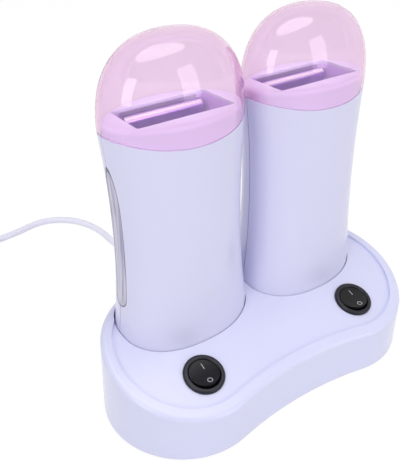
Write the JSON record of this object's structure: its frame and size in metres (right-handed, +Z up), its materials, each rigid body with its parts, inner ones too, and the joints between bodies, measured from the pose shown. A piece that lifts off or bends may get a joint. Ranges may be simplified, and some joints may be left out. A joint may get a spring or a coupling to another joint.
{
  "type": "double wax warmer",
  "caption": "Hand-held roll-on wax heaters with clear pink caps, side by side in one switched base with a mains lead.",
  "frame": {"origin": "on the table, under the middle of the base's bounding box", "axes": "+X to the right seen from the front, +Y to the back where the mains lead leaves, +Z up"},
  "size_m": [0.304, 0.2682, 0.2026],
  "materials": {
    "base_plastic": "smooth moulded plastic, soft gloss",
    "casing_plastic": "smooth moulded plastic, soft gloss",
    "cap_pink": "clear tinted plastic, polished",
    "window_clear": "clear smoked plastic, polished",
    "switch_black": "moulded black plastic, fine gloss",
    "polished_plate": "bright rolled sheet",
    "element_grey": "bare extruded aluminium",
    "inner_plastic": "plain moulded plastic",
    "lead_sheath": "soft white sheath, satin",
    "foot_rubber": "soft moulded rubber",
    "steel": "plated steel",
    "brass": "tinned brass"
  },
  "bodies": {
    "base": {"base_shell": "base_plastic", "base_cover": "base_plastic", "base_feet": "foot_rubber", "cover_screws": "steel", "cord_grip": "lead_sheath", "cord_tail": "lead_sheath", "cord_clamp": "inner_plastic", "power_cord": "lead_sheath", "cord_coil": "lead_sheath", "plug_body": "lead_sheath", "plug_pins": "steel", "left_switch_body": "switch_black", "left_switch_terminals": "brass", "left_contact_block": "inner_plastic", "left_contact_pins": "brass", "right_switch_body": "switch_black", "right_switch_terminals": "brass", "right_contact_block": "inner_plastic", "right_contact_pins": "brass"},
    "left_switch": {"left_rocker": "switch_black"},
    "left_heater": {"left_front_shell": "casing_plastic", "left_rear_shell": "casing_plastic", "left_window": "window_clear", "left_heater_foot": "casing_plastic", "left_contact_sleeves": "brass", "left_foot_screws": "steel", "left_chamber": "casing_plastic", "left_top_deck": "casing_plastic", "left_plate_pin": "steel", "left_plate_springs": "steel"},
    "left_plate": {"left_heating_plate": "polished_plate", "left_heating_element": "element_grey"},
    "left_lid": {"left_cap": "cap_pink"},
    "right_switch": {"right_rocker": "switch_black"},
    "right_heater": {"right_front_shell": "casing_plastic", "right_rear_shell": "casing_plastic", "right_window": "window_clear", "right_heater_foot": "casing_plastic", "right_contact_sleeves": "brass", "right_foot_screws": "steel", "right_chamber": "casing_plastic", "right_top_deck": "casing_plastic", "right_plate_pin": "steel", "right_plate_springs": "steel"},
    "right_plate": {"right_heating_plate": "polished_plate", "right_heating_element": "element_grey"},
    "right_lid": {"right_cap": "cap_pink"}
  },
  "joints": [
    {"name": "left_rocker_tip", "type": "hinge", "parent": "base", "child": "left_switch", "pos_m": [-0.0555, -0.02446, 0.03433], "axis": [1, 0, 0], "range_deg": [0, 18]},
    {"name": "left_heater_lift", "type": "slide", "parent": "base", "child": "left_heater", "axis": [0, 0.0436, 0.999], "range_m": [0, 0.12]},
    {"name": "left_plate_lean", "type": "hinge", "parent": "left_heater", "child": "left_plate", "pos_m": [-0.042, 0.02863, 0.06522], "axis": [-1, 0, 0], "range_deg": [0, 2], "stiffness_Nm_per_rad": 0.6, "springref_deg": -28.65},
    {"name": "left_cap_lift", "type": "slide", "parent": "left_heater", "child": "left_lid", "axis": [0, 0.0436, 0.999], "range_m": [0, 0.08]},
    {"name": "right_rocker_tip", "type": "hinge", "parent": "base", "child": "right_switch", "pos_m": [0.0555, -0.02446, 0.03433], "axis": [1, 0, 0], "range_deg": [0, 18]},
    {"name": "right_heater_lift", "type": "slide", "parent": "base", "child": "right_heater", "axis": [0, 0.0436, 0.999], "range_m": [0, 0.12]},
    {"name": "right_plate_lean", "type": "hinge", "parent": "right_heater", "child": "right_plate", "pos_m": [0.042, 0.02863, 0.06522], "axis": [-1, 0, 0], "range_deg": [0, 2], "stiffness_Nm_per_rad": 0.6, "springref_deg": -28.65},
    {"name": "right_cap_lift", "type": "slide", "parent": "right_heater", "child": "right_lid", "axis": [0, 0.0436, 0.999], "range_m": [0, 0.08]}
  ]
}
